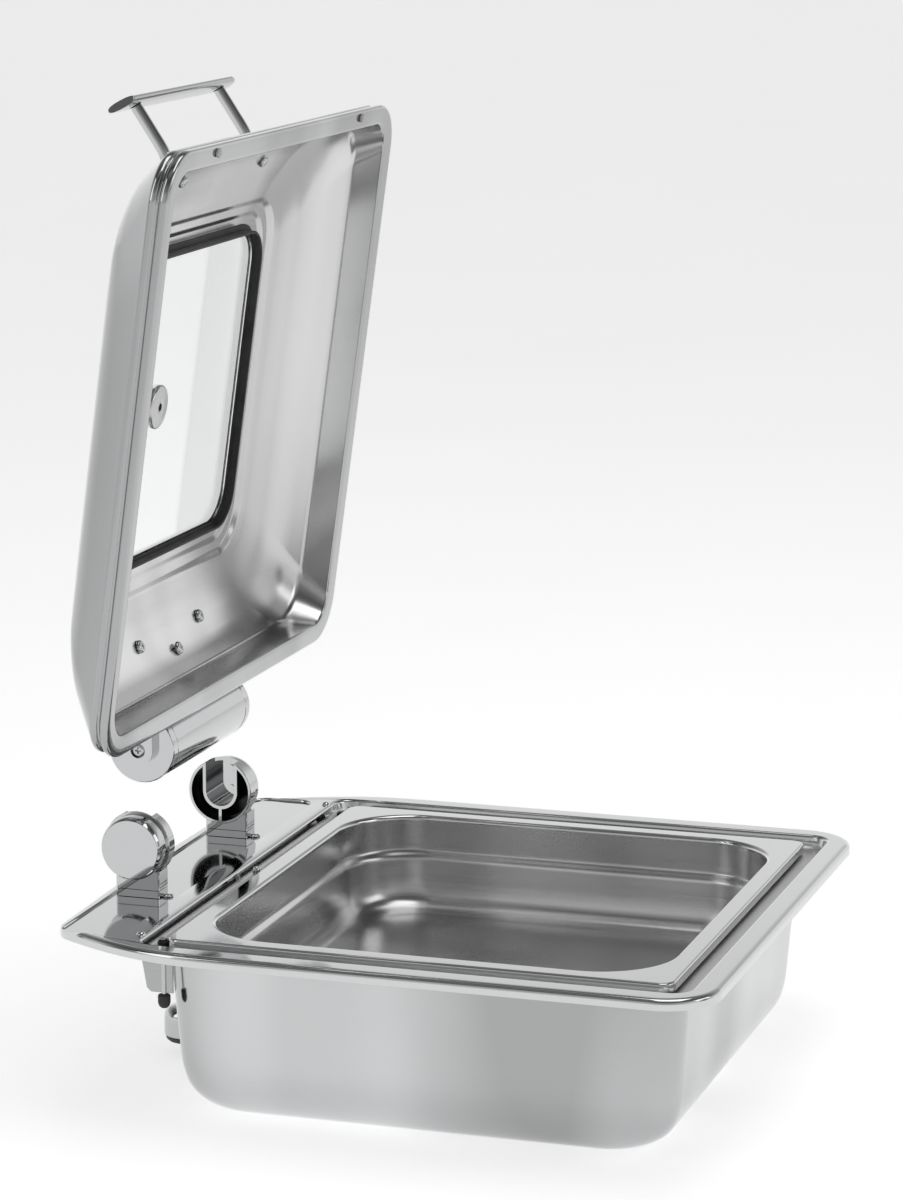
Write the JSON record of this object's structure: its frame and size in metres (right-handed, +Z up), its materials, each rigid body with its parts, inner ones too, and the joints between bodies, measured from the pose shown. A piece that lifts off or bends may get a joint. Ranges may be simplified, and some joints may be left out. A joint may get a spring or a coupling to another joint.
{
  "type": "hinged chafing dish",
  "caption": "Rectangular stainless chafing dish: water pan in a pressed frame, food pan, and a domed window lid on a damped hinge barrel, shown lifted off its posts and open.",
  "frame": {"origin": "centre of the water pan's flat bottom, at table level", "axes": "+Z up, +X along the hinge axis, +Y towards the hinge (rear)"},
  "size_m": [0.419, 0.4345, 0.6297],
  "materials": {
    "polished_steel": "mirror polished",
    "satin_steel": "satin",
    "chrome_trim": "polished chrome plate",
    "sheet_steel": "plain rolled",
    "plain_steel": "turned",
    "black_rubber": "matt",
    "window_glass": "clear polished",
    "clear_silicone": "translucent soft",
    "bush_brass": "turned"
  },
  "bodies": {
    "base": {"top_frame": "polished_steel", "water_pan": "polished_steel", "locating_stud": "chrome_trim", "deck_bracket": "sheet_steel", "pin_pad_left": "black_rubber", "support_pin_left": "plain_steel", "pin_tip_left": "black_rubber", "rear_leg_left": "plain_steel", "rear_foot_left": "chrome_trim", "foot_pad_left": "black_rubber", "post_foot_left": "chrome_trim", "hinge_post_left": "chrome_trim", "post_screw_left_front": "plain_steel", "post_screw_left_rear": "plain_steel", "pin_pad_right": "black_rubber", "support_pin_right": "plain_steel", "pin_tip_right": "black_rubber", "rear_leg_right": "plain_steel", "rear_foot_right": "chrome_trim", "foot_pad_right": "black_rubber", "post_foot_right": "chrome_trim", "hinge_post_right": "chrome_trim", "post_screw_right_front": "plain_steel", "post_screw_right_rear": "plain_steel"},
    "hinge_unit": {"hinge_end_disc_left": "chrome_trim", "hinge_end_disc_right": "chrome_trim", "hinge_end_screw_left": "plain_steel", "hinge_end_screw_right": "plain_steel", "hinge_axle": "plain_steel", "damper_core": "sheet_steel"},
    "lid": {"handle_leg_left": "chrome_trim", "handle_screw_left": "plain_steel", "rim_bumper_left": "clear_silicone", "sleeve_bush_left": "bush_brass", "handle_leg_right": "chrome_trim", "handle_screw_right": "plain_steel", "rim_bumper_right": "clear_silicone", "sleeve_bush_right": "bush_brass", "lid_shell": "polished_steel", "window_gasket": "black_rubber", "window_glass": "window_glass", "vent_disc": "satin_steel", "vent_cap": "satin_steel", "handle_grip": "chrome_trim", "hinge_sleeve": "chrome_trim", "hinge_bracket": "chrome_trim", "hinge_screw_1": "plain_steel", "hinge_screw_2": "plain_steel", "hinge_screw_3": "plain_steel"},
    "food_pan": {"food_pan": "satin_steel"}
  },
  "joints": [
    {"name": "lid_lift", "type": "slide", "parent": "base", "child": "hinge_unit", "axis": [0, 0, 1], "range_m": [-0.0616, 0.02]},
    {"name": "lid_hinge", "type": "hinge", "parent": "hinge_unit", "child": "lid", "pos_m": [0, 0.2195, 0.2102], "axis": [-1, 0, 0], "range_deg": [-82.2, 7.8]},
    {"name": "pan_lift", "type": "slide", "parent": "base", "child": "food_pan", "axis": [0, 0, 1], "range_m": [0, 0.025]}
  ]
}
